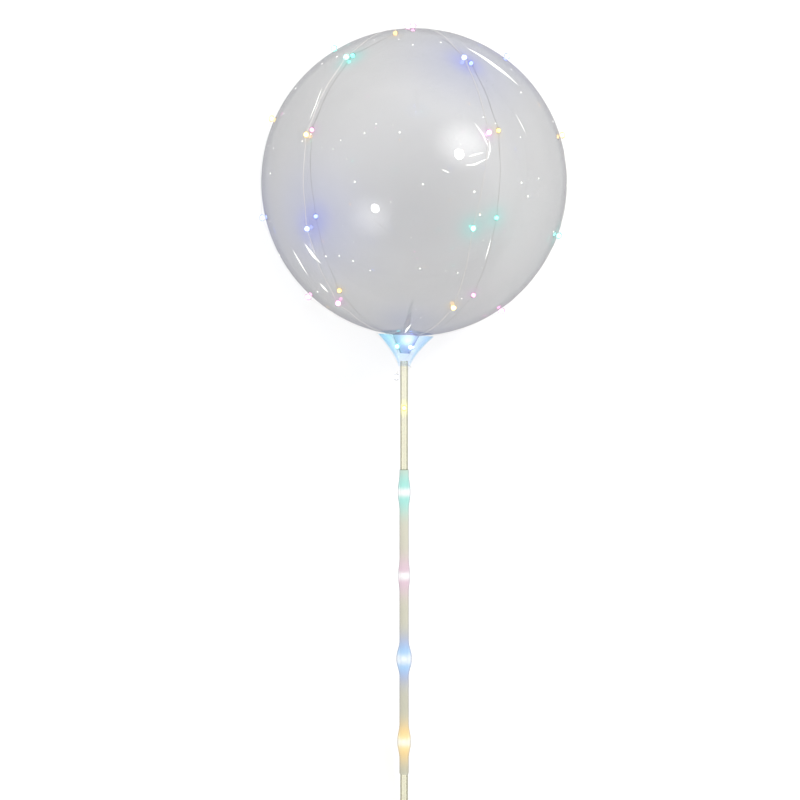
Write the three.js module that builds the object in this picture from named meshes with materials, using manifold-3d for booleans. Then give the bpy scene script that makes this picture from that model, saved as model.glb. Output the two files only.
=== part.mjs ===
// A clear bubble balloon on a hollow stick, with a string of coloured lights that runs up inside the
// stick and is wound over the balloon in three loops. It lies on a level surface: the balloon rests on
// a spot pressed flat, and the closed lower end of the stick rests beside it.
//
// Millimetres, +Z up. The pieces are first placed standing: +Z runs up the stick, z = 0 is the lower
// end of the cup, and azimuth 0 faces -Y and grows towards +X. The cup, the balloon and the wire on
// them lean together about that end. The whole is then laid on its back.
import * as THREE from "three";
import { mergeVertices } from "three/addons/utils/BufferGeometryUtils.js";
import Module from "manifold-3d";

const wasm = await Module();
wasm.setup();

const degrees = THREE.MathUtils.degToRad;

// Balloon: a sphere of film with a short neck that goes down into the cup.
const BALLOON_RADIUS = 180;
const BALLOON_CENTRE_Z = 216;
const NECK_TOP = { radius: 13, z: 31 };
const NECK_TIP = { radius: 5, z: 15 };
const NECK_SHOULDER = { radius: 13.4, z: 34.4 }; // between the neck and the sphere
const NECK_ROOT_RADIUS = 16; // where the sphere turns into the neck
const FLAT_SPOT_RADIUS = 24; // the film is pressed flat where the balloon rests
const LEAN = degrees(3.1); // cup and balloon lean towards +X
const BALLOON_SEGMENTS = 36;
const BALLOON_RINGS = 20;

// Cup: a flared funnel that holds the neck, with a hole in its floor for the stick.
const CUP_HEIGHT = 36.6;
const CUP_RIM_RADIUS = 33;
const CUP_STEM_RADIUS = 7;
const CUP_FLARE = 1.4; // exponent of the funnel's curve
const CUP_WALL = 1.4;
const CUP_FLOOR = 4;
const CUP_HOLE_RADIUS = 5.3;
const CUP_SEGMENTS = 24;

// Stick: a clear tube, open at the top inside the cup, closed and round at its lower end.
const STICK_RADIUS = 4.6;
const STICK_BORE_RADIUS = 3.5;
const STICK_TOP_Z = 6;
const STICK_LENGTH = 600; // below the cup

// Sleeve: a milky tube over the stick that swells round each light in it.
const SLEEVE_TOP_Z = -123.5;
const SLEEVE_END_Z = -489.5;
const SLEEVE_RADIUS = 5.6;
const SLEEVE_BORE_RADIUS = 4.95;
const SLEEVE_SHOULDER = 2; // length of the taper at its lower end
const SLEEVE_LIP = 0.2; // wall left at the end of the taper
const SWELL_HALF_LENGTH = 22;
const SWELL_RADII = [7.7, 7.1, 9.5, 8.3]; // from the top light in the sleeve to the lowest

// Light string: a thin wire with clear drops, whose colours repeat in one order along it.
const WIRE_RADIUS = 0.5;
const WIRE_GAP = 0.7; // between the wire and the film
const STEPS_PER_STRETCH = 2; // of the wire, between one point of its route and the next
const LAMP_RADIUS = 3.1;
const LAMP_HALF_LENGTH = 4;
const LAMP_BORE_RADIUS = 1.4;
const LAMP_GAP = 0.4; // between a drop and the film
const LAMP_PITCH = 100; // on the stick
const LOWEST_LAMP_Z = -450;
const STRING_START_Z = -560;
const CROSSING_LIFT = 2.6; // where one loop passes over another
const RISE_DEGREES = 5.7; // the arc in which the wire climbs from the film to a drop
const LONGEST_ARC_DEGREES = 11; // between two points of the route on the film

const WIRE_ORBIT = BALLOON_RADIUS + WIRE_GAP + WIRE_RADIUS;
const LAMP_LIFT = BALLOON_RADIUS + LAMP_GAP + LAMP_RADIUS - WIRE_ORBIT;
const LAMP_COLOURS = [0xffd27a, 0x7fb4ff, 0xf29be0, 0x6fe8d4]; // yellow, blue, pink, teal

function clearPlastic(colour, roughness, opacity) {
  return new THREE.MeshStandardMaterial({
    color: colour,
    roughness,
    metalness: 0,
    transparent: opacity < 1,
    opacity,
  });
}

// A solid of revolution about Z from a profile of [radius, z] pairs.
function turned(profile, segments) {
  const points = profile.map(([radius, z]) => new THREE.Vector2(radius, z));
  return new THREE.LatheGeometry(points, segments).rotateX(Math.PI / 2);
}

function solidOf(geometry) {
  const bare = geometry.clone();
  bare.deleteAttribute("normal");
  bare.deleteAttribute("uv");
  const merged = mergeVertices(bare, 1e-4);
  return new wasm.Manifold(
    new wasm.Mesh({
      numProp: 3,
      vertProperties: new Float32Array(merged.attributes.position.array),
      triVerts: new Uint32Array(merged.index.array),
    }),
  );
}

function geometryOf(solid) {
  const mesh = solid.getMesh();
  const geometry = new THREE.BufferGeometry();
  geometry.setAttribute("position", new THREE.BufferAttribute(mesh.vertProperties, 3));
  geometry.setIndex(new THREE.BufferAttribute(mesh.triVerts, 1));
  geometry.computeVertexNormals();
  return geometry;
}

function named(name, geometry, material) {
  const mesh = new THREE.Mesh(geometry, material);
  mesh.name = name;
  return mesh;
}

// ---- Balloon ----

function balloonProfile() {
  const rings = BALLOON_RINGS;
  const rootAngle = Math.asin(NECK_ROOT_RADIUS / BALLOON_RADIUS);
  const profile = [
    [0, NECK_TIP.z],
    [NECK_TIP.radius, NECK_TIP.z],
    [NECK_TOP.radius, NECK_TOP.z],
    [NECK_SHOULDER.radius, NECK_SHOULDER.z],
  ];
  for (let i = 0; i < rings; i++) {
    const angle = rootAngle + ((Math.PI - rootAngle) * i) / rings; // from the sphere's lowest point
    profile.push([BALLOON_RADIUS * Math.sin(angle), BALLOON_CENTRE_Z - BALLOON_RADIUS * Math.cos(angle)]);
  }
  profile.push([0, BALLOON_CENTRE_Z + BALLOON_RADIUS]);
  return profile;
}

// The balloon with everything below the resting surface cut away; place takes its frame to the world's.
function balloon(place) {
  const width = 4 * BALLOON_RADIUS;
  const below = new THREE.BoxGeometry(width, 2 * STICK_LENGTH, width).translate(0, 0, -width / 2);
  below.applyMatrix4(place.clone().invert());
  return geometryOf(solidOf(turned(balloonProfile(), BALLOON_SEGMENTS)).subtract(solidOf(below)));
}

// ---- Cup ----

function cupOuterRadius(z) {
  return CUP_STEM_RADIUS + (CUP_RIM_RADIUS - CUP_STEM_RADIUS) * Math.pow(z / CUP_HEIGHT, CUP_FLARE);
}

function cup() {
  const rings = 6;
  const profile = [[CUP_HOLE_RADIUS, 0]];
  for (let i = 0; i <= rings; i++) {
    const z = (CUP_HEIGHT * i) / rings;
    profile.push([cupOuterRadius(z), z]);
  }
  for (let i = rings; i >= 0; i--) {
    const z = CUP_FLOOR + ((CUP_HEIGHT - CUP_FLOOR) * i) / rings;
    profile.push([cupOuterRadius(z) - CUP_WALL, z]);
  }
  profile.push([CUP_HOLE_RADIUS, CUP_FLOOR], [CUP_HOLE_RADIUS, 0]);
  return turned(profile, CUP_SEGMENTS);
}

// ---- Stick and sleeve ----

function stick() {
  const floor = STICK_RADIUS - STICK_BORE_RADIUS;
  const profile = [];
  for (let i = 0; i <= 4; i++) {
    const angle = (Math.PI / 2) * (i / 4); // the round lower end
    const z = -STICK_LENGTH + STICK_RADIUS * (1 - Math.cos(angle));
    profile.push([STICK_RADIUS * Math.sin(angle), z]);
  }
  profile.push(
    [STICK_RADIUS, STICK_TOP_Z],
    [STICK_BORE_RADIUS, STICK_TOP_Z],
    [STICK_BORE_RADIUS, -STICK_LENGTH + STICK_RADIUS],
    [0, -STICK_LENGTH + floor],
  );
  return turned(profile, 16);
}

function lampHeightsInSleeve() {
  return SWELL_RADII.map((_, i) => LOWEST_LAMP_Z + LAMP_PITCH * (SWELL_RADII.length - 1 - i));
}

function sleeve() {
  const ringsInSwell = 8;
  const profile = [
    [SLEEVE_BORE_RADIUS, SLEEVE_TOP_Z],
    [SLEEVE_RADIUS, SLEEVE_TOP_Z],
  ];
  lampHeightsInSleeve().forEach((lampZ, index) => {
    for (let i = 0; i <= ringsInSwell; i++) {
      const along = (2 * i) / ringsInSwell - 1;
      const swell = (SWELL_RADII[index] - SLEEVE_RADIUS) * (0.5 + 0.5 * Math.cos(Math.PI * along));
      profile.push([SLEEVE_RADIUS + swell, lampZ - SWELL_HALF_LENGTH * along]);
    }
  });
  profile.push(
    [SLEEVE_RADIUS, SLEEVE_END_Z + SLEEVE_SHOULDER],
    [SLEEVE_BORE_RADIUS + SLEEVE_LIP, SLEEVE_END_Z],
    [SLEEVE_BORE_RADIUS, SLEEVE_END_Z],
    [SLEEVE_BORE_RADIUS, SLEEVE_TOP_Z],
  );
  return turned(profile.reverse(), 12);
}

// ---- The light string's route ----

// A point of the leaning pieces by azimuth in degrees, distance from their axis and height.
function besideAxis(azimuth, radius, z) {
  const turn = degrees(azimuth);
  return new THREE.Vector3(radius * Math.sin(turn), -radius * Math.cos(turn), z);
}

// A unit direction from the balloon's centre.
function direction(latitude, azimuth) {
  const level = Math.cos(degrees(latitude));
  return besideAxis(azimuth, level, Math.sin(degrees(latitude)));
}

function overFilm(outward, lift) {
  return outward.clone().multiplyScalar(WIRE_ORBIT + lift).add(new THREE.Vector3(0, 0, BALLOON_CENTRE_Z));
}

function between(from, to, share) {
  const turn = new THREE.Quaternion().setFromUnitVectors(from, to);
  return from.clone().applyQuaternion(new THREE.Quaternion().slerp(turn, share));
}

// The places a loop passes, in order, as [latitude, azimuth, what]: a drop, or a crossing over another
// loop. Each loop goes up one side of the balloon, over the top and down the other side.
const LOOPS = [
  [
    [-44, 142, "lamp"],
    [-9, 144, "lamp"],
    [25.5, 142, "lamp"],
    [57, 142, "lamp"],
    [83.5, -57, "lamp"],
    [46, -41.5, "lamp"],
    [12.5, -43.5, "lamp"],
    [-20.5, -43, "lamp"],
    [-52.5, -45.5, "lamp"],
  ],
  [
    [-45.5, -139, "lamp"],
    [-12.5, -138, "lamp"],
    [21, -131, "lamp"],
    [56.5, -126, "lamp"],
    [76.5, -132, "lamp"],
    [86, -67, "crossing"],
    [48, 23, "lamp"],
    [16, 26.5, "lamp"],
    [-17.5, 22.5, "lamp"],
    [-51.5, 27, "lamp"],
  ],
  [
    [-52, 78, "lamp"],
    [-17, 78, "lamp"],
    [20, 78, "lamp"],
    [56, 78, "lamp"],
    [76, 11, "crossing"],
    [77, -16, "lamp"],
    [75.5, -46.5, "crossing"],
    [56, -86, "lamp"],
    [21, -86, "lamp"],
    [-16, -86, "lamp"],
    [-50, -86, "lamp"],
  ],
];
const LOOP_RISES = { lamp: LAMP_LIFT, crossing: CROSSING_LIFT };
const RIM_LATITUDE = -79.5; // where the wire passes between the film and the cup's rim

// The points from one place on the film to the next. The wire comes down to the film after a rise
// and follows it until the next one, unless the two are so close that it stays up between them.
function stretch(from, to) {
  const start = direction(from[0], from[1]);
  const end = direction(to[0], to[1]);
  const arc = THREE.MathUtils.radToDeg(start.angleTo(end));
  const onFilm = arc - 2 * RISE_DEGREES;
  if (onFilm < 0.4 * RISE_DEGREES) return [];
  const pieces = Math.ceil(onFilm / LONGEST_ARC_DEGREES);
  return Array.from({ length: pieces + 1 }, (_, i) => {
    const share = (RISE_DEGREES + (onFilm * i) / pieces) / arc;
    return { point: overFilm(between(start, end, share), 0) };
  });
}

function loopPoints(places) {
  const first = [RIM_LATITUDE, places[0][1]];
  const last = [RIM_LATITUDE, places.at(-1)[1]];
  const points = [{ point: overFilm(direction(...first), 0) }];
  let before = first;
  for (const place of places) {
    points.push(...stretch(before, place));
    points.push({
      point: overFilm(direction(place[0], place[1]), LOOP_RISES[place[2]]),
      lamp: place[2] === "lamp",
    });
    before = place;
  }
  points.push(...stretch(before, last), { point: overFilm(direction(...last), 0) });
  return points;
}

// Inside the cup: down beside the neck at one azimuth, round under its tip and up again at another.
function turnInCup(fromAzimuth, toAzimuth) {
  const way = [
    [0, 24, 33.6],
    [0, 17.5, 28],
    [0, 13.8, 23, "lamp"],
    [0.04, 11.7, 18.6],
    [0.22, 10.5, 15.4],
    [0.5, 10.2, 14.4],
    [0.78, 10.5, 15.4],
    [0.96, 11.7, 18.6],
    [1, 13.8, 23],
    [1, 17.5, 28],
    [1, 24, 33.6],
  ];
  return way.map(([share, radius, z, what]) => ({
    point: besideAxis(fromAzimuth + share * (toAzimuth - fromAzimuth), radius, z),
    lamp: what === "lamp",
  }));
}

// From the stick's mouth, beside the neck and out over the rim.
function risePastNeck(azimuth) {
  const way = [
    [2.4, 9.3],
    [6.6, 11.4],
    [10, 15],
    [12, 19],
    [13.8, 23, "lamp"],
    [17.5, 28],
    [24, 33.6],
  ];
  return way.map(([radius, z, what]) => ({ point: besideAxis(azimuth, radius, z), lamp: what === "lamp" }));
}

// The free end: down the outside of the cup, once round its stem, and down beside the stick to a drop.
function tail(azimuth) {
  const way = [
    [0, 35.2, 36],
    [0, 31, 32.6],
    [0, 25.2, 27],
    [0, 18.8, 19],
    [0, 13.2, 11],
    [-12, 10.7, 6],
    [-45, 9.9, 3.6],
    [-90, 9.1, 1.8],
    [-135, 8.6, 0.4],
    [-180, 8.2, -0.9],
    [-225, 7.5, -2.2],
    [-270, 6.9, -3.4],
    [-315, 6.9, -4.6],
    [-350, 7.3, -6.4],
    [-360, 8.2, -9.4],
    [-360, 8.3, -13.6, "lamp"],
    [-360, 8.3, -18.5],
  ];
  return way.map(([turn, radius, z, what]) => ({
    point: besideAxis(azimuth + turn, radius, z),
    lamp: what === "lamp",
  }));
}

function pointsInStick() {
  const points = [{ point: new THREE.Vector3(0, 0, STRING_START_Z) }];
  for (let z = LOWEST_LAMP_Z; z < 0; z += LAMP_PITCH) {
    points.push({ point: new THREE.Vector3(0, 0, z), lamp: true });
    points.push({ point: new THREE.Vector3(0, 0, z + LAMP_PITCH / 3) });
  }
  points.push({ point: new THREE.Vector3(0, 0, STICK_TOP_Z) });
  return points;
}

// The whole route in the standing frame, from the string's start to its free end.
function stringRoute() {
  const [first, second, third] = LOOPS;
  const leaning = [
    ...risePastNeck(first[0][1]),
    ...loopPoints(first),
    ...turnInCup(first.at(-1)[1], second[0][1]),
    ...loopPoints(second),
    ...turnInCup(second.at(-1)[1], third[0][1]),
    ...loopPoints(third),
    ...tail(third.at(-1)[1]),
  ];
  const leanAxis = new THREE.Vector3(0, 1, 0);
  leaning.forEach(({ point }) => point.applyAxisAngle(leanAxis, LEAN));
  return [...pointsInStick(), ...leaning];
}

// ---- The light string's pieces ----

// A curve that an extrusion follows in even steps from point to point, so that each point is met.
class WireCurve extends THREE.CatmullRomCurve3 {
  getPointAt(share, target) {
    return this.getPoint(share, target);
  }

  getTangentAt(share, target) {
    return this.getTangent(share, target);
  }
}

function wire(curve) {
  const sides = 5;
  const section = new THREE.Shape();
  for (let i = 0; i < sides; i++) {
    const angle = (2 * Math.PI * i) / sides;
    const move = i ? "lineTo" : "moveTo";
    section[move](WIRE_RADIUS * Math.cos(angle), WIRE_RADIUS * Math.sin(angle));
  }
  section.closePath();
  return new THREE.ExtrudeGeometry(section, {
    steps: STEPS_PER_STRETCH * (curve.points.length - 1),
    extrudePath: curve,
    bevelEnabled: false,
  });
}

// A drop: an ellipsoid round the wire, open along it.
function lamp() {
  const edge = Math.asin(LAMP_BORE_RADIUS / LAMP_RADIUS);
  const profile = [];
  for (let i = 0; i <= 4; i++) {
    const angle = edge + ((Math.PI - 2 * edge) * i) / 4;
    profile.push([LAMP_RADIUS * Math.sin(angle), -LAMP_HALF_LENGTH * Math.cos(angle)]);
  }
  profile.push(profile[0]);
  return turned(profile, 6);
}

function lightString() {
  const route = stringRoute();
  const curve = new WireCurve(route.map((stop) => stop.point), false, "centripetal");
  const pieces = [named("wire", wire(curve), clearPlastic(0xc9a27a, 0.4, 1))];
  const drop = lamp();
  route.forEach((stop, index) => {
    if (!stop.lamp) return;
    const count = pieces.length;
    const colour = LAMP_COLOURS[(count - 1) % LAMP_COLOURS.length];
    const piece = named("lamp_" + String(count).padStart(2, "0"), drop, clearPlastic(colour, 0.15, 0.8));
    const along = curve.getTangent(index / (route.length - 1));
    piece.position.copy(stop.point);
    piece.quaternion.setFromUnitVectors(new THREE.Vector3(0, 0, 1), along);
    pieces.push(piece);
  });
  return pieces;
}

// ---- Assembly ----

// The stick slopes down from the balloon so that its round end touches the surface.
const REST_HEIGHT = Math.sqrt(BALLOON_RADIUS ** 2 - FLAT_SPOT_RADIUS ** 2);
const CENTRE_ALONG_STICK = BALLOON_CENTRE_Z * Math.cos(LEAN);
const SLOPE = Math.asin((REST_HEIGHT - STICK_RADIUS) / (CENTRE_ALONG_STICK + STICK_LENGTH - STICK_RADIUS));

const standing = new THREE.Group();
standing.rotation.x = SLOPE - Math.PI / 2;
standing.position.z = REST_HEIGHT - CENTRE_ALONG_STICK * Math.sin(SLOPE);

const leaning = new THREE.Group();
leaning.rotation.y = LEAN;
standing.add(leaning);

const part = new THREE.Group();
part.add(standing);
part.updateMatrixWorld(true);

leaning.add(named("balloon", balloon(leaning.matrixWorld), clearPlastic(0xe4e8ec, 0.03, 0.25)));
leaning.add(named("cup", cup(), clearPlastic(0xcfeeff, 0.1, 0.5)));
standing.add(named("stick", stick(), clearPlastic(0xe6e4cf, 0.15, 0.6)));
standing.add(named("sleeve", sleeve(), clearPlastic(0xe8e6d8, 0.5, 0.9)));
standing.add(...lightString());

// The origin is on the resting surface, under the middle of the whole.
part.updateMatrixWorld(true);
const middle = new THREE.Box3().setFromObject(part, true).getCenter(new THREE.Vector3());
standing.position.x -= middle.x;
standing.position.y -= middle.y;

export default part;
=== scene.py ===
"""A clear bubble balloon on a hollow stick, wound with a string of coloured lights, lying on a pale floor.

Metres. The pieces are worked out standing, as the CAD's are: +Z runs up the stick, z = 0 is the lower end
of the cup, and azimuth 0 faces -Y and grows towards +X. Balloon, cup and the wire on them lean together.
"""

import math
import random

import bpy
import numpy as np
from mathutils import Matrix, Quaternion, Vector

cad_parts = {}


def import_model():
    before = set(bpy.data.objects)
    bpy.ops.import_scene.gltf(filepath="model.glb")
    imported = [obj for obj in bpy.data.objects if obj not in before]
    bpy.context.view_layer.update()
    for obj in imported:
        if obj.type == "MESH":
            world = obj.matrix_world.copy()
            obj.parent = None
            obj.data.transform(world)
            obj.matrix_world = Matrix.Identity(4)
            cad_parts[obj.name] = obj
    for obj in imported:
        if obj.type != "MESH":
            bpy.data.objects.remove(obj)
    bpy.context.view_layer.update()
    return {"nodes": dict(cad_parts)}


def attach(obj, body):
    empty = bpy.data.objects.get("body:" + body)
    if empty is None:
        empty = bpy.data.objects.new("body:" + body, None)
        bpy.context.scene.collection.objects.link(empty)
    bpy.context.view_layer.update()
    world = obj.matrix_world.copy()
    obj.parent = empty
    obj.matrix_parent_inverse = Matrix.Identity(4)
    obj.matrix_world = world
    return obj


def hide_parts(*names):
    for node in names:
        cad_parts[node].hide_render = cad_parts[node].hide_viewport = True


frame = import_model()

MM = 0.001

# ---- Driving dimensions, the CAD's own ----

BALLOON_RADIUS = 180 * MM
BALLOON_CENTRE_Z = 216 * MM
NECK_TOP = (13 * MM, 31 * MM)  # radius, z
NECK_TIP = (5 * MM, 15 * MM)
NECK_ROOT_RADIUS = 16 * MM
FLAT_SPOT_RADIUS = 24 * MM
LEAN = math.radians(3.1)
FLOAT_GAP = 0.3 * MM  # between the film's flat spot and the floor
PLEATS = 17
PLEAT_DEPTH = 0.7 * MM
PLEATS_END_Z = 37 * MM
PLEATS_FADE = 12 * MM
NECK_RINGS = 12
FILM_RINGS = 160
FILM_SEGMENTS = 300

CUP_HEIGHT = 36.6 * MM
CUP_RIM_RADIUS = 33 * MM
CUP_STEM_RADIUS = 7 * MM
CUP_FLARE = 1.4
CUP_WALL = 1.4 * MM
CUP_FLOOR = 4 * MM
CUP_HOLE_RADIUS = 5.3 * MM
CUP_RINGS = 24
CUP_SEGMENTS = 96
CUP_TINT_WIDTH = 1.2 * CUP_RIM_RADIUS  # across which its left tint turns into its right one

STICK_RADIUS = 4.6 * MM
STICK_BORE_RADIUS = 3.5 * MM
STICK_TOP_Z = 6 * MM
STICK_LENGTH = 600 * MM
STICK_BORE_END_Z = -STICK_LENGTH + STICK_RADIUS
STICK_STEP = 4 * MM  # between the rings of its mesh
TUBE_SEGMENTS = 48  # round the stick and the sleeve

SLEEVE_TOP_Z = -123.5 * MM
SLEEVE_END_Z = -489.5 * MM
SLEEVE_RADIUS = 5.6 * MM
SLEEVE_BORE_RADIUS = 4.95 * MM
SLEEVE_SHOULDER = 2 * MM  # length of the taper at its lower end
SLEEVE_LIP = 0.2 * MM  # wall left at the end of the taper
SLEEVE_STEP = 1.5 * MM  # between the rings of its outside
SLEEVE_BORE_STEP = 6 * MM
SWELL_HALF_LENGTH = 22 * MM
SWELL_RADII = [7.7 * MM, 7.1 * MM, 9.5 * MM, 8.3 * MM]

WIRE_RADIUS = 0.5 * MM
WIRE_GAP = 0.7 * MM  # between the wire and the film
STRAND_RADIUS = 0.14 * MM
STRAND_OFFSET = 0.18 * MM  # of each of the wire's two strands from the route
STRAND_SIDES = 6
WIRE_STEP = 2.4 * MM  # between the rings of its mesh
LAMP_RADIUS = 3.1 * MM
LAMP_HALF_LENGTH = 4 * MM
LAMP_GAP = 0.4 * MM  # between a drop and the film
LAMP_PITCH = 100 * MM  # on the stick
LAMPS_IN_STICK = 5
CORE_RADIUS = 0.55 * LAMP_RADIUS
CORE_HALF_LENGTH = 0.5 * LAMP_HALF_LENGTH
DROP_MESH = (14, 24)  # rings, segments
CORE_MESH = (8, 16)
LOWEST_LAMP_Z = -450 * MM
HIGHEST_LAMP_Z = LOWEST_LAMP_Z + (LAMPS_IN_STICK - 1) * LAMP_PITCH  # of those in the stick
STRING_START_Z = -560 * MM
CROSSING_LIFT = 2.6 * MM  # where one loop passes over another
RISE_DEGREES = 5.7  # the arc in which the wire climbs from the film to a drop
LONGEST_ARC_DEGREES = 11  # between two points of the route on the film
SHORTEST_ARC_DEGREES = 0.4 * RISE_DEGREES  # a shorter stretch on the film gets no points

WIRE_ORBIT = BALLOON_RADIUS + WIRE_GAP + WIRE_RADIUS
LAMP_LIFT = BALLOON_RADIUS + LAMP_GAP + LAMP_RADIUS - WIRE_ORBIT

REST_HEIGHT = math.sqrt(BALLOON_RADIUS**2 - FLAT_SPOT_RADIUS**2)
CENTRE_ALONG_STICK = BALLOON_CENTRE_Z * math.cos(LEAN)
SLOPE = math.asin((REST_HEIGHT - STICK_RADIUS) / (CENTRE_ALONG_STICK + STICK_LENGTH - STICK_RADIUS))

# ---- Places ----


def centroid(node):
    corners = [v.co for v in frame["nodes"][node].data.vertices]
    return sum(corners, Vector()) / len(corners)


def standing_to_world():
    """Lays the standing pieces on their back, so that the lowest lamp is where the CAD has it."""
    turn = Matrix.Rotation(SLOPE - math.pi / 2, 4, "X")
    lowest_lamp = turn @ Vector((0, 0, LOWEST_LAMP_Z))
    return Matrix.Translation(centroid("lamp_01") - lowest_lamp) @ turn


STANDING = standing_to_world()
LEANING = STANDING @ Matrix.Rotation(LEAN, 4, "Y")

# ---- Directions on the leaning pieces ----


def beside_axis(azimuth, radius, z):
    turn = math.radians(azimuth)
    return Vector((radius * math.sin(turn), -radius * math.cos(turn), z))


def direction(latitude, azimuth):
    level = math.cos(math.radians(latitude))
    return beside_axis(azimuth, level, math.sin(math.radians(latitude)))


def over_film(outward, lift):
    return outward * (WIRE_ORBIT + lift) + Vector((0, 0, BALLOON_CENTRE_Z))


def between(start, end, share):
    return Quaternion().slerp(start.rotation_difference(end), share) @ start


# ---- Meshes ----

SHARP_ANGLE = math.radians(35)  # edges that turn by more than this aren't smoothed over


def evenly(first, last, step):
    """Values from first to last, about a step apart."""
    count = max(1, round(abs(last - first) / step))
    return [first + (last - first) * i / count for i in range(count + 1)]


def turned(profile, segments, closed=False):
    """Vertices and faces of a surface of revolution about Z from (radius, z) pairs, going up outside."""
    angles = [2 * math.pi * i / segments for i in range(segments)]
    vertices, rings = [], []
    for radius, z in profile:
        start = len(vertices)
        if radius < 1e-7:
            vertices.append((0, 0, z))
            rings.append([start] * segments)
        else:
            vertices.extend((radius * math.sin(a), -radius * math.cos(a), z) for a in angles)
            rings.append(list(range(start, start + segments)))
    if closed:
        rings.append(rings[0])
    faces = []
    for lower, upper in zip(rings, rings[1:]):
        for i in range(segments):
            j = (i + 1) % segments
            corners = [lower[i], lower[j], upper[j], upper[i]]
            faces.append(tuple(dict.fromkeys(corners)))
    return vertices, faces


def joined(*parts):
    """One mesh's vertices and faces from several, with each face's material number."""
    vertices, faces, numbers = [], [], []
    for number, (more_vertices, more_faces) in parts:
        start = len(vertices)
        vertices.extend(more_vertices)
        faces.extend(tuple(start + corner for corner in face) for face in more_faces)
        numbers.extend([number] * len(more_faces))
    return vertices, faces, numbers


def piece(name, vertices, faces, place, materials, numbers=None):
    """A smooth mesh object, in place on the CAD's only body."""
    mesh = bpy.data.meshes.new(name)
    mesh.from_pydata([place @ Vector(v) for v in vertices], [], faces)
    for material in materials:
        mesh.materials.append(material)
    mesh.polygons.foreach_set("use_smooth", [True] * len(mesh.polygons))
    if numbers:
        mesh.polygons.foreach_set("material_index", numbers)
    mesh.set_sharp_from_angle(angle=SHARP_ANGLE)
    obj = bpy.data.objects.new(name, mesh)
    bpy.context.scene.collection.objects.link(obj)
    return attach(obj, "root")


# ---- Materials ----


def linear(*screen_colour):
    """A linear colour from one in 0 to 255 as a screen shows it, for colours that aren't close to black."""
    return tuple(((part / 255 + 0.055) / 1.055) ** 2.4 for part in screen_colour)


def shader_material(name, values):
    """A Principled material with plain values."""
    material = bpy.data.materials.new(name)
    material.use_nodes = True
    shader = material.node_tree.nodes["Principled BSDF"]
    for socket, value in values.items():
        shader.inputs[socket].default_value = value
    return material


def new_node(material, kind, **values):
    """A shader node with plain values on its sockets."""
    node = material.node_tree.nodes.new(kind)
    for socket, value in values.items():
        node.inputs[socket].default_value = value
    return node


def turn_from_eye(material):
    """How far the surface is turned from the eye, from square on at 0 to edge on at 1."""
    return new_node(material, "ShaderNodeLayerWeight", Blend=0.5).outputs["Facing"]


def colour_node(material, name):
    """The output of a colour stored on the mesh's vertices."""
    node = new_node(material, "ShaderNodeAttribute")
    node.attribute_name = name
    return node.outputs["Color"]


def greys(stops):
    """A grey ramp's stops from (position, amount) pairs."""
    return [(position, (amount,) * 3) for position, amount in stops]


def ramp_node(material, source, stops):
    """A colour that follows a value from 0 to 1 by (position, colour) stops."""
    node = new_node(material, "ShaderNodeValToRGB")
    elements = node.color_ramp.elements
    elements[0].position, elements[1].position = stops[0][0], stops[-1][0]
    elements[0].color, elements[1].color = (*stops[0][1], 1), (*stops[-1][1], 1)
    for position, colour in stops[1:-1]:
        elements.new(position).color = (*colour, 1)
    material.node_tree.links.new(source, node.inputs["Fac"])
    return node.outputs["Color"]


def multiplied(material, first, second):
    """The output of two colours multiplied."""
    node = new_node(material, "ShaderNodeMix")
    node.data_type = "RGBA"
    node.blend_type = "MULTIPLY"
    node.inputs["Factor"].default_value = 1
    material.node_tree.links.new(first, node.inputs[6])
    material.node_tree.links.new(second, node.inputs[7])
    return node.outputs[2]


def thin_clear_material(name, density, shine, gloss, roughness):
    """Clear plastic too thin to bend light. By (turn from the eye, amount), density is the share of light
    that its tint lets through, and shine is how glossy it is."""
    material = bpy.data.materials.new(name)
    material.use_nodes = True
    material.cycles.emission_sampling = "NONE"
    links = material.node_tree.links
    material.node_tree.nodes.clear()
    clear = new_node(material, "ShaderNodeBsdfTransparent")
    glossy = new_node(material, "ShaderNodeBsdfGlossy", Roughness=roughness, Color=(*gloss, 1))
    turn = turn_from_eye(material)
    surface = new_node(material, "ShaderNodeMixShader")
    light = new_node(material, "ShaderNodeEmission", Strength=1)
    both = new_node(material, "ShaderNodeAddShader")
    output = new_node(material, "ShaderNodeOutputMaterial")
    tint = multiplied(material, colour_node(material, "tint"), ramp_node(material, turn, density))
    links.new(tint, clear.inputs["Color"])
    links.new(colour_node(material, "glow"), light.inputs["Color"])
    links.new(ramp_node(material, turn, greys(shine)), surface.inputs["Fac"])
    links.new(clear.outputs["BSDF"], surface.inputs[1])
    links.new(glossy.outputs["BSDF"], surface.inputs[2])
    links.new(surface.outputs["Shader"], both.inputs[0])
    links.new(light.outputs["Emission"], both.inputs[1])
    links.new(both.outputs["Shader"], output.inputs["Surface"])
    return material


def film_material():
    density = [
        (0, (1, 1, 1)),
        (0.13, (0.975, 0.975, 0.975)),
        (0.29, (0.915, 0.915, 0.915)),
        (0.49, (0.885, 0.885, 0.885)),
        (0.72, (0.82, 0.82, 0.825)),
        (0.87, (0.66, 0.66, 0.68)),
        (1, (0.4, 0.4, 0.42)),
    ]
    shine = [(0, 0.07), (0.4, 0.085), (0.6, 0.11), (0.8, 0.2), (0.92, 0.34), (1, 0.45)]
    return thin_clear_material("balloon_film", density, shine, (0.88, 0.88, 0.88), 0.03)


# White and glowing: it paints highlights on the film's ribbons and glints on its specks.
def painted_highlight_material():
    return shader_material(
        "film_painted_highlight",
        {
            "Base Color": (0.95, 0.95, 0.92, 1),
            "Roughness": 0.4,
            "Alpha": 0.9,
            "Emission Color": (1, 1, 0.95, 1),
            "Emission Strength": 0.45,
        },
    )


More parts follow.
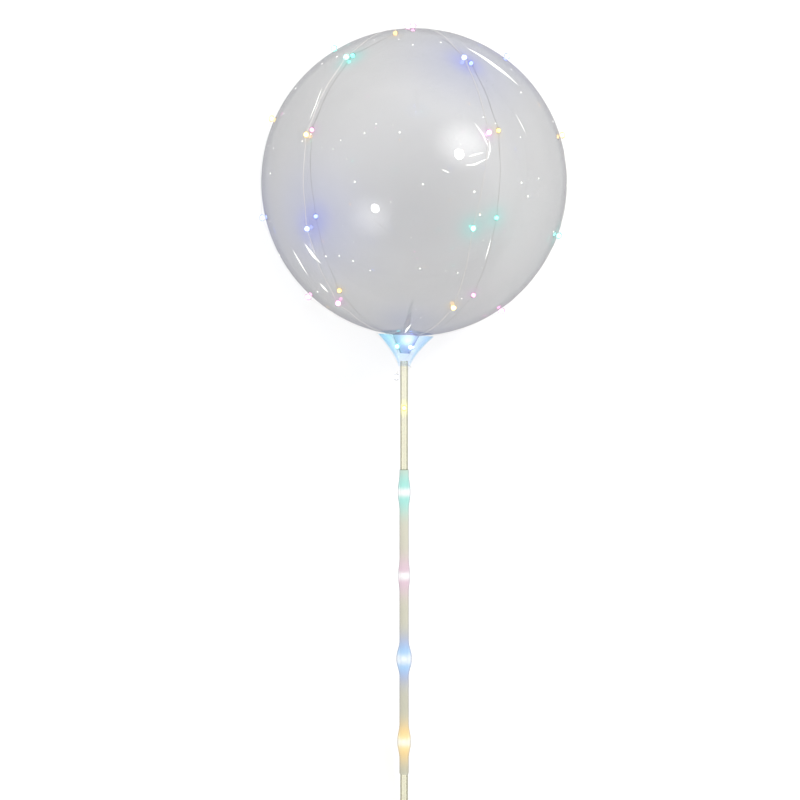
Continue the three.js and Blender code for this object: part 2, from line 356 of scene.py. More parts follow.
def cup_material():
    density = [(0, (1, 1, 1)), (0.4, (1, 1, 1)), (0.8, (0.78, 0.88, 0.94)), (1, (0.36, 0.52, 0.62))]
    shine = [(0, 0.04), (0.5, 0.06), (0.8, 0.2), (1, 0.5)]
    return thin_clear_material("cup", density, shine, (0.95, 0.98, 1), 0.06)


def stick_material():
    density = [(0, (1, 1, 1)), (0.3, (1, 1, 1)), (0.6, (0.6, 0.59, 0.52)), (1, (0.28, 0.28, 0.22))]
    shine = [(0, 0.03), (0.6, 0.05), (0.85, 0.12), (1, 0.3)]
    return thin_clear_material("stick", density, shine, (0.8, 0.8, 0.75), 0.05)


def sleeve_material():
    """Milky plastic that shows a little of the stick, with painted shade where it is seen edge on."""
    edge = [(0, (1, 1, 1)), (0.35, (1, 1, 1)), (0.6, (0.66, 0.64, 0.68)), (1, (0.22, 0.21, 0.25))]
    material = shader_material("sleeve", {"Roughness": 0.35, "Alpha": 0.7, "Emission Strength": 1})
    material.cycles.emission_sampling = "NONE"
    shader = material.node_tree.nodes["Principled BSDF"]
    turn = turn_from_eye(material)
    shade = ramp_node(material, turn, edge)
    for name, socket in (("tint", "Base Color"), ("glow", "Emission Color")):
        shaded = multiplied(material, colour_node(material, name), shade)
        material.node_tree.links.new(shaded, shader.inputs[socket])
    return material


def wire_material():
    values = {"Base Color": (0.70, 0.67, 0.64, 1), "Roughness": 0.35, "Metallic": 1}
    return shader_material("wire", values)


def drop_material(name, colour):
    values = {"Base Color": (*colour, 1), "Roughness": 0.08, "IOR": 1.45, "Transmission Weight": 0.9}
    return shader_material(name, values)


def paler(colour):
    return tuple(DROP_PALENESS + (1 - DROP_PALENESS) * part for part in colour)


def core_material(name, colour):
    both = (*colour, 1)
    values = {"Base Color": both, "Emission Color": both, "Emission Strength": CORE_STRENGTH}
    return shader_material(name, values)


# ---- Glow of the lamps ----

# The lamps' colours, in their order along the string.
COLOURS = {
    "yellow": (1.0, 0.72, 0.30),
    "blue": (0.45, 0.55, 1.0),
    "pink": (1.0, 0.50, 0.80),
    "teal": (0.35, 0.95, 0.85),
}
DROP_PALENESS = 0.35  # how far a drop's colour is from its lamp's towards white
PLAIN_DROP = (0.7, 0.72, 0.76)  # the last one's, which has no colour
PLAIN_CORE = (0.5, 0.5, 0.5)
CORE_STRENGTH = 6

FILM_TINT = (0.863, 0.863, 0.863)  # what one layer lets through
# Painted lamp light on the film, as (tint, light given off, radius) at each colour's lamps.
HALOS = {
    "yellow": [((1.0, 0.88, 0.66), (0.12, 0.05, 0.0), 6.5 * MM)],
    "blue": [
        ((0.78, 0.81, 1.0), (0.0, 0.0, 0.09), 24 * MM),
        ((0.92, 0.935, 1.0), (0.0, 0.0, 0.02), 58 * MM),
    ],
    "pink": [((1.0, 0.82, 0.97), (0.07, 0.0, 0.06), 8 * MM)],
    "teal": [((0.74, 1.0, 0.98), (0.0, 0.08, 0.06), 14 * MM)],
}
NECK_HALO_PLACE = (-63, 0)  # latitude, azimuth
NECK_HALO_RADIUS = 30 * MM
NECK_HALO_TINT = (0.87, 0.89, 1.0)
# A painted highlight on the film where it enters the cup:
NECK_LIGHT_PLACE = (12, 13 * MM, 32 * MM)  # azimuth, radius, z
NECK_LIGHT_RADIUS = 8 * MM
NECK_LIGHT = (0.9, 0.95, 1.0)

# Painted light: the change from the left tint to the right one, and the glow at the rim and low down.
CUP_LEFT_TINT = (0.83, 0.95, 0.99)
CUP_RIGHT_TINT = (0.90, 0.925, 0.985)
CUP_LOW_TINT = (0.935, 0.95, 0.985)
CUP_LOW_GLOW = (0.02, 0.025, 0.03)
CUP_RIM_GLOW = (0.02, 0.05, 0.06)

STICK_TINT = (0.955, 0.95, 0.895)
# Painted lamp light: the stick is tinted and glows near its highest lamp, and glows below the cup.
STICK_LIT_TINT = (0.99, 0.98, 0.88)
STICK_GLOW = (0.07, 0.07, 0.01)  # at its highest lamp
STICK_GLOW_LENGTH = 8 * MM
STICK_TOP_GLOW = (0.035, 0.035, 0.035)  # from the cup
STICK_TOP_GLOW_LENGTH = 60 * MM

# Painted lamp light in the sleeve: (screen colour, how far it reaches along the stick), from the widest to
# the lamp itself.
LAMP_WHITE = ((255, 255, 255), 5 * MM)
LAMP_PALE = ((235, 244, 252), 6 * MM)
SLEEVE_LIGHTS = {
    "yellow": [((254, 222, 155), 25 * MM), ((255, 240, 180), 10 * MM), ((255, 253, 236), 4.5 * MM)],
    "blue": [((172, 186, 232), 29 * MM), ((178, 218, 252), 18 * MM), LAMP_PALE],
    "pink": [((231, 205, 218), 24 * MM), LAMP_WHITE],
    "teal": [((174, 236, 228), 27 * MM), LAMP_WHITE],
}
SLEEVE_LIT_SHARE = 0.7  # of a painted lit colour that goes into the plastic's colour, and not into light given off
SLEEVE_TOP_COLOUR = (226, 223, 206)
SLEEVE_END_COLOUR = (205, 204, 184)


def colour_vertices(obj, tint, glow):
    """Stores one tint and one glow colour for each vertex."""
    for name, colours in (("tint", tint), ("glow", glow)):
        attribute = obj.data.attributes.new(name, "FLOAT_COLOR", "POINT")
        opaque = np.c_[colours, np.ones(len(colours))].astype(np.float32)
        attribute.data.foreach_set("color", opaque.ravel())


def places_of(obj):
    co = np.empty(len(obj.data.vertices) * 3)
    obj.data.vertices.foreach_get("co", co)
    return co.reshape(-1, 3)


def places_within(placing, places):
    """Places in the world as they are in a standing or leaning piece's own frame."""
    back = np.array(placing.inverted())
    return places @ back[:3, :3].T + back[:3, 3]


def mixed(first, second, share):
    return np.array(first) * (1 - share) + np.array(second) * share


def fading(distance, reach, power=2):
    """From 1 at no distance to nothing well past its reach. A higher power ends it more sharply."""
    return np.exp(-(np.abs(distance / reach) ** power))[:, None]


def fading_from(point, places, reach):
    return fading(np.linalg.norm(places - np.array(point), axis=1), reach)


def halo_colours(places, lamp_places):
    """The film's tint and glow, with the painted light of the halos of all the lamps near it."""
    tint, glow = np.ones_like(places) * FILM_TINT, np.zeros_like(places)
    for number, lamp_place in enumerate(lamp_places):
        for halo_tint, halo_glow, radius in HALOS[lamp_colour(number)]:
            share = fading_from(lamp_place, places, radius)
            tint = np.minimum(tint, FILM_TINT * (1 - share * (1 - np.array(halo_tint))))
            glow = np.maximum(glow, share * np.array(halo_glow))
    return tint, glow


def add_neck_halo(places, tint):
    """Violet light on the film just above the cup."""
    middle = LEANING @ over_film(direction(*NECK_HALO_PLACE), 0)
    share = fading_from(middle, places, NECK_HALO_RADIUS)
    np.minimum(tint, FILM_TINT * (1 - share * (1 - np.array(NECK_HALO_TINT))), out=tint)


def add_neck_light(places, glow):
    """A painted highlight: white glow on the film where it enters the cup."""
    middle = LEANING @ beside_axis(*NECK_LIGHT_PLACE)
    glow += fading_from(middle, places, NECK_LIGHT_RADIUS) * NECK_LIGHT


def lamp_colour(number):
    return list(COLOURS)[number % len(COLOURS)]


# ---- Balloon ----


def off_floor(point):
    """The place of a point of the balloon in the world, pressed flat where it would be below the floor."""
    world = LEANING @ point
    world.z = max(world.z, FLOAT_GAP)
    return world


def balloon_shape():
    """The neck and sphere in the world, with pleats in the neck and the lowest spot pressed flat."""
    root_angle = math.asin(NECK_ROOT_RADIUS / BALLOON_RADIUS)
    profile = [(0, NECK_TIP[1])]
    for i in range(NECK_RINGS + 1):
        share = i / NECK_RINGS
        profile.append(tuple(tip + (top - tip) * share for tip, top in zip(NECK_TIP, NECK_TOP)))
    for i in range(FILM_RINGS):
        angle = root_angle + (math.pi - root_angle) * i / FILM_RINGS
        below_centre = BALLOON_RADIUS * math.cos(angle)
        profile.append((BALLOON_RADIUS * math.sin(angle), BALLOON_CENTRE_Z - below_centre))
    profile.append((0, BALLOON_CENTRE_Z + BALLOON_RADIUS))
    vertices, faces = turned(profile, FILM_SEGMENTS)
    shaped = []
    for x, y, z in vertices:
        distance = math.hypot(x, y)
        fade = min(max((PLEATS_END_Z - z) / PLEATS_FADE, 0), 1)
        if distance and fade:
            pleat = 1 + PLEAT_DEPTH * fade * math.cos(PLEATS * math.atan2(x, -y)) / distance
            x, y = x * pleat, y * pleat
        shaped.append(off_floor(Vector((x, y, z))))
    return shaped, faces


# Painted highlights, as glowing white ribbons on the film: (width, places passed), each place a latitude
# and azimuth.
HIGHLIGHT_RIBBONS = [
    (7 * MM, [(57, 31), (47, 43), (38.5, 52)]),
    (5 * MM, [(-26.5, -48), (-31, -45.5), (-34.5, -42.5)]),
    (3.2 * MM, [(-29, -58.5), (-34, -57.5), (-40, -57)]),
    (4.5 * MM, [(-43.5, -51), (-48, -49.5)]),
    (1.8 * MM, [(19.5, 21.5), (15.5, 24.5), (11, 26.5)]),
    (1.6 * MM, [(13.5, 27), (10, 27), (6.5, 26)]),
    (1.8 * MM, [(4, 17.5), (4.5, 21), (7, 26)]),
    (1.6 * MM, [(7, 18.5), (8, 21), (9, 24.5)]),
    (1.4 * MM, [(2, 9), (1, 12)]),
    (0.9 * MM, [(25, 41.5), (17.5, 45)]),
    (1.5 * MM, [(32, -45.5), (24.5, -44.5), (18, -45)]),
    (1.3 * MM, [(-21, 31.5), (-29.5, 32)]),
    (2.6 * MM, [(-78, -2), (-72, 1), (-66.5, 4)]),
]
RIBBON_LIFT = 0.12 * MM
RIBBON_STEPS = 7  # in each leg
RIBBON_END = 0.04  # the width of its ends, as a share of its own

# Small domes on the film, each painted with a glint by the highlight material.
SPECKS = 110
SPECK_SEED = 11
SPECK_REACH = 0.9  # how far up and down from the centre they go, in radii of the balloon
SPECK_RADII = (0.7 * MM, 1.35 * MM)
SPECK_PROFILE = [(1, 0), (0.6, 0.35), (0, 0.5)]  # radius and height, in radii of the speck
SPECK_SEGMENTS = 8


# Each ribbon is a painted highlight, drawn white and glowing on the film.
def highlight_ribbon(width, places):
    """A ribbon on the film that narrows to both ends."""
    outwards = [direction(*place) for place in places]
    legs = list(zip(outwards, outwards[1:]))
    shares = [i / RIBBON_STEPS for i in range(RIBBON_STEPS)]
    centreline = [between(first, last, share) for first, last in legs for share in shares]
    centreline.append(outwards[-1])
    vertices, faces = [], []
    for i, outward in enumerate(centreline):
        along = centreline[min(i + 1, len(centreline) - 1)] - centreline[max(i - 1, 0)]
        half = 0.5 * width * max(math.sin(math.pi * i / (len(centreline) - 1)), RIBBON_END)
        side = along.cross(outward).normalized() * half
        middle = Vector((0, 0, BALLOON_CENTRE_Z)) + outward * (BALLOON_RADIUS + RIBBON_LIFT)
        vertices += [LEANING @ (middle - side), LEANING @ (middle + side)]
    for i in range(0, len(vertices) - 2, 2):
        faces.append((i, i + 1, i + 3, i + 2))
    return vertices, faces


def speck(outward, radius):
    """A low dome on the film."""
    profile = [(across * radius, height * radius) for across, height in SPECK_PROFILE]
    vertices, faces = turned(profile, SPECK_SEGMENTS)
    turn = outward.to_track_quat("Z", "Y")
    middle = Vector((0, 0, BALLOON_CENTRE_Z)) + outward * BALLOON_RADIUS
    return [off_floor(middle + turn @ Vector(v)) for v in vertices], faces


def specks():
    draw = random.Random(SPECK_SEED)
    made = []
    for _ in range(SPECKS):
        latitude = math.degrees(math.asin(draw.uniform(-SPECK_REACH, SPECK_REACH)))
        outward = direction(latitude, draw.uniform(-180, 180))
        made.append(speck(outward, draw.uniform(*SPECK_RADII)))
    return made


def balloon(lamp_places):
    # The ribbons and specks carry painted highlights and glints.
    painted_highlights = [highlight_ribbon(*line) for line in HIGHLIGHT_RIBBONS] + specks()
    vertices, faces, numbers = joined((0, balloon_shape()), *((1, painted_highlight) for painted_highlight in painted_highlights))
    materials = [film_material(), painted_highlight_material()]
    made = piece("balloon_film", vertices, faces, Matrix.Identity(4), materials, numbers)
    places = places_of(made)
    tint, glow = halo_colours(places, lamp_places)
    add_neck_halo(places, tint)
    add_neck_light(places, glow)
    colour_vertices(made, tint, glow)
    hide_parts("balloon")


# ---- Cup, stick and sleeve ----


def cup_outer_radius(z):
    return CUP_STEM_RADIUS + (CUP_RIM_RADIUS - CUP_STEM_RADIUS) * (max(z, 0) / CUP_HEIGHT) ** CUP_FLARE


def cup_colours(places):
    """Cyan towards the rim and the left, paler lower down, lavender towards the right; the change from left
    to right and the glow are painted light.
    """
    local = places_within(LEANING, places)
    up = np.clip(local[:, 2] / CUP_HEIGHT, 0, 1)[:, None]
    across = np.clip(local[:, 0] / CUP_TINT_WIDTH + 0.5, 0, 1)[:, None]
    side = mixed(CUP_LEFT_TINT, CUP_RIGHT_TINT, across)
    return mixed(CUP_LOW_TINT, side, up), mixed(CUP_LOW_GLOW, CUP_RIM_GLOW, up)


def cup():
    outer_step, inner_step = CUP_HEIGHT / CUP_RINGS, (CUP_HEIGHT - CUP_FLOOR) / CUP_RINGS
    profile = [(CUP_HOLE_RADIUS, 0)]
    profile += [(cup_outer_radius(z), z) for z in evenly(0, CUP_HEIGHT, outer_step)]
    profile += [(cup_outer_radius(z) - CUP_WALL, z) for z in evenly(CUP_HEIGHT, CUP_FLOOR, inner_step)]
    profile.append((CUP_HOLE_RADIUS, CUP_FLOOR))
    shape = turned(profile, CUP_SEGMENTS, closed=True)
    made = piece("cup_clear", *shape, LEANING, [cup_material()])
    colour_vertices(made, *cup_colours(places_of(made)))
    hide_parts("cup")


def round_end(radius, steps=10):
    """The half profile of the stick's closed end."""
    angles = [math.pi / 2 * i / steps for i in range(steps)]
    return [(radius * math.sin(angle), STICK_BORE_END_Z - radius * math.cos(angle)) for angle in angles]


def height_in_stick(places):
    return places_within(STANDING, places)[:, 2]


def stick():
    profile = round_end(STICK_RADIUS)
    profile += [(STICK_RADIUS, z) for z in evenly(STICK_BORE_END_Z, STICK_TOP_Z, STICK_STEP)]
    profile += [(STICK_BORE_RADIUS, z) for z in evenly(STICK_TOP_Z, STICK_BORE_END_Z, STICK_STEP)]
    profile += reversed(round_end(STICK_BORE_RADIUS))
    made = piece("stick_tube", *turned(profile, TUBE_SEGMENTS), STANDING, [stick_material()])
    height = height_in_stick(places_of(made))
    # Painted light: the stick is lit near its highest lamp and near the cup.
    near_lamp = fading(height - HIGHEST_LAMP_Z, STICK_GLOW_LENGTH, power=4)
    near_top = fading(STICK_TOP_Z - height, STICK_TOP_GLOW_LENGTH)
    glow = near_lamp * STICK_GLOW + near_top * STICK_TOP_GLOW
    colour_vertices(made, mixed(STICK_TINT, STICK_LIT_TINT, near_lamp), glow)
    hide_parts("stick")


def sleeve_outline(z):
    radius = SLEEVE_RADIUS
    for index, swell in enumerate(SWELL_RADII):
        lamp_z = LOWEST_LAMP_Z + LAMP_PITCH * (len(SWELL_RADII) - 1 - index)
        along = min(abs(z - lamp_z) / SWELL_HALF_LENGTH, 1)
        radius += (swell - SLEEVE_RADIUS) * (0.5 + 0.5 * math.cos(math.pi * along))
    return radius


def sleeve_colours(places):
    """Cream, darker downwards, with the painted light of each lamp inside, from its widest light to the
    lamp itself.
    """
    height = height_in_stick(places)
    share = np.clip((SLEEVE_TOP_Z - height) / (SLEEVE_TOP_Z - SLEEVE_END_Z), 0, 1)[:, None]
    colour = mixed(linear(*SLEEVE_TOP_COLOUR), linear(*SLEEVE_END_COLOUR), share)
    glow = np.zeros_like(colour)
    for number in range(len(SWELL_RADII)):
        distance = np.abs(height - (LOWEST_LAMP_Z + number * LAMP_PITCH))
        for screen_colour, reach in SLEEVE_LIGHTS[lamp_colour(number)]:
            near = fading(distance, reach, power=3)
            lit = np.array(linear(*screen_colour))
            colour = mixed(colour, SLEEVE_LIT_SHARE * lit, near)
            glow = mixed(glow, (1 - SLEEVE_LIT_SHARE) * lit, near)
    return colour, glow


def sleeve():
    profile = [(SLEEVE_BORE_RADIUS, SLEEVE_END_Z), (SLEEVE_BORE_RADIUS + SLEEVE_LIP, SLEEVE_END_Z)]
    heights = evenly(SLEEVE_END_Z + SLEEVE_SHOULDER, SLEEVE_TOP_Z, SLEEVE_STEP)
    profile += [(sleeve_outline(z), z) for z in heights]
    last_z = SLEEVE_END_Z + MM  # the closed profile goes on from here to its first point
    profile += [(SLEEVE_BORE_RADIUS, z) for z in evenly(SLEEVE_TOP_Z, last_z, SLEEVE_BORE_STEP)]
    shape = turned(profile, TUBE_SEGMENTS, closed=True)
    made = piece("sleeve_milky", *shape, STANDING, [sleeve_material()])
    colour_vertices(made, *sleeve_colours(places_of(made)))
    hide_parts("sleeve")


# ---- The light string's route, in the standing frame ----

LAMP, CROSSING, PLAIN = "lamp", "crossing", "plain"
LOOPS = [
    [
        (-44, 142, LAMP),
        (-9, 144, LAMP),
        (25.5, 142, LAMP),
        (57, 142, LAMP),
        (83.5, -57, LAMP),
        (46, -41.5, LAMP),
        (12.5, -43.5, LAMP),
        (-20.5, -43, LAMP),
        (-52.5, -45.5, LAMP),
    ],
    [
        (-45.5, -139, LAMP),
        (-12.5, -138, LAMP),
        (21, -131, LAMP),
        (56.5, -126, LAMP),
        (76.5, -132, LAMP),
        (86, -67, CROSSING),
        (48, 23, LAMP),
        (16, 26.5, LAMP),
        (-17.5, 22.5, LAMP),
        (-51.5, 27, LAMP),
    ],
    [
        (-52, 78, LAMP),
        (-17, 78, LAMP),
        (20, 78, LAMP),
        (56, 78, LAMP),
        (76, 11, CROSSING),
        (77, -16, LAMP),
        (75.5, -46.5, CROSSING),
        (56, -86, LAMP),
        (21, -86, LAMP),
        (-16, -86, LAMP),
        (-50, -86, LAMP),
    ],
]
LOOP_RISES = {LAMP: LAMP_LIFT, CROSSING: CROSSING_LIFT}
RIM_LATITUDE = -79.5

# Ways near the cup, as (share of the turn or degrees, radius, z, what), in millimetres.
CUP_TURN = [
    (0, 24, 33.6, PLAIN),
    (0, 17.5, 28, PLAIN),
    (0, 13.8, 23, LAMP),
    (0.04, 11.7, 18.6, PLAIN),
    (0.22, 10.5, 15.4, PLAIN),
    (0.5, 10.2, 14.4, PLAIN),
    (0.78, 10.5, 15.4, PLAIN),
    (0.96, 11.7, 18.6, PLAIN),
    (1, 13.8, 23, PLAIN),
    (1, 17.5, 28, PLAIN),
    (1, 24, 33.6, PLAIN),
]
NECK_RISE = [
    (0, 2.4, 9.3, PLAIN),
    (0, 6.6, 11.4, PLAIN),
    (0, 10, 15, PLAIN),
    (0, 12, 19, PLAIN),
    (0, 13.8, 23, LAMP),
    (0, 17.5, 28, PLAIN),
    (0, 24, 33.6, PLAIN),
]
TAIL = [
    (0, 35.2, 36, PLAIN),
    (0, 31, 32.6, PLAIN),
    (0, 25.2, 27, PLAIN),
    (0, 18.8, 19, PLAIN),
    (0, 13.2, 11, PLAIN),
    (-12, 10.7, 6, PLAIN),
    (-45, 9.9, 3.6, PLAIN),
    (-90, 9.1, 1.8, PLAIN),
    (-135, 8.6, 0.4, PLAIN),
    (-180, 8.2, -0.9, PLAIN),
    (-225, 7.5, -2.2, PLAIN),
    (-270, 6.9, -3.4, PLAIN),
    (-315, 6.9, -4.6, PLAIN),
    (-350, 7.3, -6.4, PLAIN),
    (-360, 8.2, -9.4, PLAIN),
    (-360, 8.3, -13.6, LAMP),
    (-360, 8.3, -18.5, PLAIN),
]


def near_cup(way, azimuth, turn=1):
    """The stops of a way that starts at an azimuth and goes round by its first numbers times turn."""
    stops = []
    for share, radius, z, what in way:
        stops.append((beside_axis(azimuth + share * turn, radius * MM, z * MM), what == LAMP))
    return stops


def stretch(start_place, end_place):
    """The stops on the film from one place to the next, after one rise and before the other."""
    start, end = direction(*start_place[:2]), direction(*end_place[:2])
    arc = math.degrees(start.angle(end))
    on_film = arc - 2 * RISE_DEGREES
    if on_film < SHORTEST_ARC_DEGREES:
        return []
    count = math.ceil(on_film / LONGEST_ARC_DEGREES)
    shares = [(RISE_DEGREES + on_film * i / count) / arc for i in range(count + 1)]
    return [(over_film(between(start, end, share), 0), False) for share in shares]


def loop_stops(places):
    first, last = (RIM_LATITUDE, places[0][1]), (RIM_LATITUDE, places[-1][1])
    stops = [(over_film(direction(*first), 0), False)]
    before = first
    for place in places:
        stops += stretch(before, place)
        stops.append((over_film(direction(*place[:2]), LOOP_RISES[place[2]]), place[2] == LAMP))
        before = place
    return stops + stretch(before, last) + [(over_film(direction(*last), 0), False)]


def stops_in_stick():
    stops = [(Vector((0, 0, STRING_START_Z)), False)]
    for i in range(LAMPS_IN_STICK):
        z = LOWEST_LAMP_Z + i * LAMP_PITCH
        stops += [(Vector((0, 0, z)), True), (Vector((0, 0, z + LAMP_PITCH / 3)), False)]
    return stops + [(Vector((0, 0, STICK_TOP_Z)), False)]


def string_stops():
    """The whole route in the world, as (point, whether a lamp is there)."""
    first, second, third = LOOPS
    leaning = (
        near_cup(NECK_RISE, first[0][1])
        + loop_stops(first)
        + near_cup(CUP_TURN, first[-1][1], second[0][1] - first[-1][1])
        + loop_stops(second)
        + near_cup(CUP_TURN, second[-1][1], third[0][1] - second[-1][1])
        + loop_stops(third)
        + near_cup(TAIL, third[-1][1])
    )
    standing = [(STANDING @ point, is_lamp) for point, is_lamp in stops_in_stick()]
    return standing + [(LEANING @ point, is_lamp) for point, is_lamp in leaning]


def catmull_rom(points):
    """For each span of a centripetal curve through the points, its four coefficients."""
    points = [np.array(p) for p in points]
    ends = [2 * points[0] - points[1], *points, 2 * points[-1] - points[-2]]
    spans = []
    for a, b, c, d in zip(ends, ends[1:], ends[2:], ends[3:]):
        before, here, after = (math.sqrt(np.linalg.norm(q - p)) for p, q in ((a, b), (b, c), (c, d)))
        leaving = ((b - a) / before - (c - a) / (before + here) + (c - b) / here) * here
        arriving = ((c - b) / here - (d - b) / (here + after) + (d - c) / after) * here
        spans.append((b, leaving, 3 * (c - b) - 2 * leaving - arriving, 2 * (b - c) + leaving + arriving))
    return spans


def route_points(spans):
    """Points about WIRE_STEP apart along the whole route."""
    points = []
    for k0, k1, k2, k3 in spans:
        length = np.linalg.norm(k1 + k2 + k3)
        count = max(2, round(length / WIRE_STEP))
        points += [k0 + k1 * t + k2 * t**2 + k3 * t**3 for t in (i / count for i in range(count))]
    k0, k1, k2, k3 = spans[-1]
    return np.array([*points, k0 + k1 + k2 + k3])


# ---- The light string's pieces ----


def frames_along(points):
    """The direction at each point and a normal beside it, which turns only as much as the route bends."""
    tangents = [Vector(tangent).normalized() for tangent in np.gradient(points, axis=0)]
    normal = tangents[0].orthogonal().normalized()
    frames = []
    for before, tangent in zip([tangents[0], *tangents], tangents):
        normal = before.rotation_difference(tangent) @ normal
        normal = (normal - tangent * normal.dot(tangent)).normalized()
        frames.append((tangent, normal))
    return frames


def tube(points, radius, sides):
    """Vertices and faces of a closed tube along points."""
    vertices, faces = [], []
    for point, (tangent, normal) in zip(points, frames_along(points)):
        across = tangent.cross(normal)
        for k in range(sides):
            angle = 2 * math.pi * k / sides
            side = normal * math.cos(angle) + across * math.sin(angle)
            vertices.append(Vector(point) + side * radius)
    for i in range(len(points) - 1):
        for k in range(sides):
            a, b = i * sides + k, i * sides + (k + 1) % sides
            faces.append((a, b, b + sides, a + sides))
    last = (len(points) - 1) * sides
    faces += [tuple(range(sides - 1, -1, -1)), tuple(range(last, last + sides))]
    return vertices, faces


def strand(points, phase):
    """The points moved off the route to one side."""
    moved = []
    for point, (tangent, normal) in zip(points, frames_along(points)):
        moved.append(Vector(point) + Quaternion(tangent, phase) @ normal * STRAND_OFFSET)
    return np.array(moved)


def wire(spans):
    points = route_points(spans)
    strands = [tube(strand(points, phase), STRAND_RADIUS, STRAND_SIDES) for phase in (0, math.pi)]
    vertices, faces, _ = joined(*((0, one) for one in strands))
    made = piece("wire_strands", vertices, faces, Matrix.Identity(4), [wire_material()])
    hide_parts("wire")


def ellipsoid(radius, half_length, rings, segments):
    profile = []
    for i in range(rings + 1):
        angle = math.pi * i / rings
        profile.append((radius * math.sin(angle) if 0 < i < rings else 0, -half_length * math.cos(angle)))
    return turned(profile, segments)


def lamp_looks():
    """The materials of a drop and its core, in each colour and in none."""
    looks = {}
    for name, colour in COLOURS.items():
        looks[name] = [drop_material("drop_" + name, paler(colour)), core_material("core_" + name, colour)]
    looks["plain"] = [drop_material("drop_plain", PLAIN_DROP), core_material("core_plain", PLAIN_CORE)]
    return looks


def lamps(stops, spans):
    """A clear drop with a bright core at each lamp stop, its colour by its number along the string."""
    drop = ellipsoid(LAMP_RADIUS, LAMP_HALF_LENGTH, *DROP_MESH)
    core = ellipsoid(CORE_RADIUS, CORE_HALF_LENGTH, *CORE_MESH)
    vertices, faces, numbers = joined((0, drop), (1, core))
    looks = lamp_looks()
    places = [(point, leaving) for (point, is_lamp), (_, leaving, _, _) in zip(stops, spans) if is_lamp]
    for number, (point, leaving) in enumerate(places, 1):
        name = lamp_colour(number - 1)
        look = looks["plain" if number == len(places) else name]
        place = Matrix.Translation(point) @ Vector(leaving).to_track_quat("Z", "Y").to_matrix().to_4x4()
        made = piece(f"drop_{number:02d}", vertices, faces, place, look, numbers)
        node = f"lamp_{number:02d}"
        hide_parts(node)


# ---- Stage, light and camera ----

FLOOR_HALF_WIDTH = 60
WORLD_RADIANCE = (1.1, 1.1, 1.1)
CARD_SEGMENTS = 48

AIM = STANDING @ Vector((-4.9 * MM, 0, -40.4 * MM))  # in the middle of the picture
CAMERA_DISTANCE = 2.3
CAMERA_TILT = math.radians(3)
FIELD = 0.95  # the width in view at AIM
SENSOR = 36


def floor():
    half = FLOOR_HALF_WIDTH
    corners = [(-half, -half, 0), (half, -half, 0), (half, half, 0), (-half, half, 0)]
    mesh = bpy.data.meshes.new("floor")
    mesh.from_pydata(corners, [], [(0, 1, 2, 3)])
    mesh.materials.append(shader_material("floor", {"Base Color": (0.96, 0.96, 0.96, 1), "Roughness": 0.9}))
    obj = bpy.data.objects.new("floor", mesh)
    bpy.context.scene.collection.objects.link(obj)


def world(radiance):
    made = bpy.data.worlds.new("studio")
    made.use_nodes = True
    background = made.node_tree.nodes["Background"]
    background.inputs["Color"].default_value = (*radiance, 1)
    background.inputs["Strength"].default_value = 1
    bpy.context.scene.world = made


def card_material(name, radiance, fade):
    """Light that a card one unit in radius adds, fading by (distance from its middle, share of it)."""
    material = bpy.data.materials.new(name)
    material.use_nodes = True
    links = material.node_tree.links
    material.node_tree.nodes.clear()
    place = new_node(material, "ShaderNodeTexCoord")
    distance = new_node(material, "ShaderNodeVectorMath")
    distance.operation = "LENGTH"
    emission = new_node(material, "ShaderNodeEmission", Strength=radiance)
    links.new(place.outputs["Object"], distance.inputs[0])
    links.new(ramp_node(material, distance.outputs["Value"], greys(fade)), emission.inputs["Color"])
    both = new_node(material, "ShaderNodeAddShader")
    links.new(new_node(material, "ShaderNodeBsdfTransparent").outputs["BSDF"], both.inputs[0])
    links.new(emission.outputs["Emission"], both.inputs[1])
    output = new_node(material, "ShaderNodeOutputMaterial")
    links.new(both.outputs["Shader"], output.inputs["Surface"])
    return material


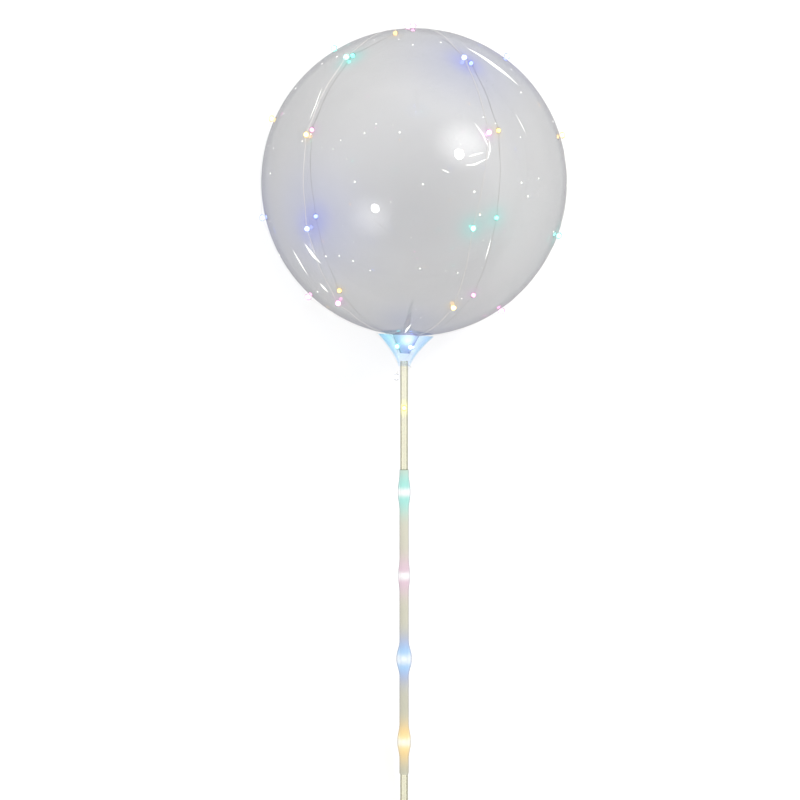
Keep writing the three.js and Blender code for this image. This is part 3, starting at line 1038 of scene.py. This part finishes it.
def card(name, off_axis, bearing, distance, half_size, radiance, fade):
    """A round glowing card, seen from the balloon at off_axis degrees from straight ahead. Its bearing is
    the side it is on, in degrees from the right and growing upwards."""
    tilt, turn = math.radians(off_axis), math.radians(bearing)
    standing = Vector((math.sin(tilt) * math.cos(turn), -math.cos(tilt), math.sin(tilt) * math.sin(turn)))
    towards = STANDING.to_3x3() @ standing
    vertices, faces = turned([(0, 0), (1, 0)], CARD_SEGMENTS)
    mesh = bpy.data.meshes.new(name)
    mesh.from_pydata(vertices, [], faces)
    mesh.materials.append(card_material(name, radiance, fade))
    obj = bpy.data.objects.new(name, mesh)
    across = (STANDING.to_3x3() @ Vector((0, 0, 1))).cross(towards).normalized()
    turned_to = Matrix((across, towards.cross(across), towards)).transposed().to_4x4()
    centre = LEANING @ Vector((0, 0, BALLOON_CENTRE_Z)) + towards * distance
    obj.matrix_world = Matrix.Translation(centre) @ turned_to @ Matrix.Diagonal((*half_size, 1, 1))
    obj.visible_camera = False
    bpy.context.scene.collection.objects.link(obj)


def camera():
    made = bpy.data.cameras.new("camera")
    made.sensor_width = SENSOR
    made.lens = SENSOR * CAMERA_DISTANCE / FIELD
    obj = bpy.data.objects.new("camera", made)
    towards = Vector((0, -math.cos(CAMERA_TILT), math.sin(CAMERA_TILT)))
    up = Vector((0, math.sin(CAMERA_TILT), math.cos(CAMERA_TILT)))
    turn = STANDING.to_3x3()
    back, top = turn @ towards, turn @ up
    right = top.cross(back)
    turned_to = Matrix((right, top, back)).transposed().to_4x4()
    obj.matrix_world = Matrix.Translation(AIM + back * CAMERA_DISTANCE) @ turned_to
    bpy.context.scene.collection.objects.link(obj)
    bpy.context.scene.camera = obj


# ---- The whole scene ----

stops = string_stops()
spans = catmull_rom([point for point, _ in stops])
balloon([point for point, is_lamp in stops if is_lamp])
cup()
stick()
sleeve()
wire(spans)
lamps(stops, spans)
floor()
world(WORLD_RADIANCE)
card(
    "softbox",
    off_axis=42,
    bearing=36,
    distance=2.4,
    half_size=(1.0, 0.85),
    radiance=3.8,
    fade=[(0, 1), (0.3, 0.8), (0.6, 0.4), (0.85, 0.09), (1, 0)],
)
card(
    "bulb",
    off_axis=36,
    bearing=29,
    distance=2.3,
    half_size=(0.14, 0.14),
    radiance=20,
    fade=[(0, 0.7), (0.3, 0.8), (0.5, 1), (1, 1)],
)
camera()
bpy.context.scene.view_settings.view_transform = "Standard"
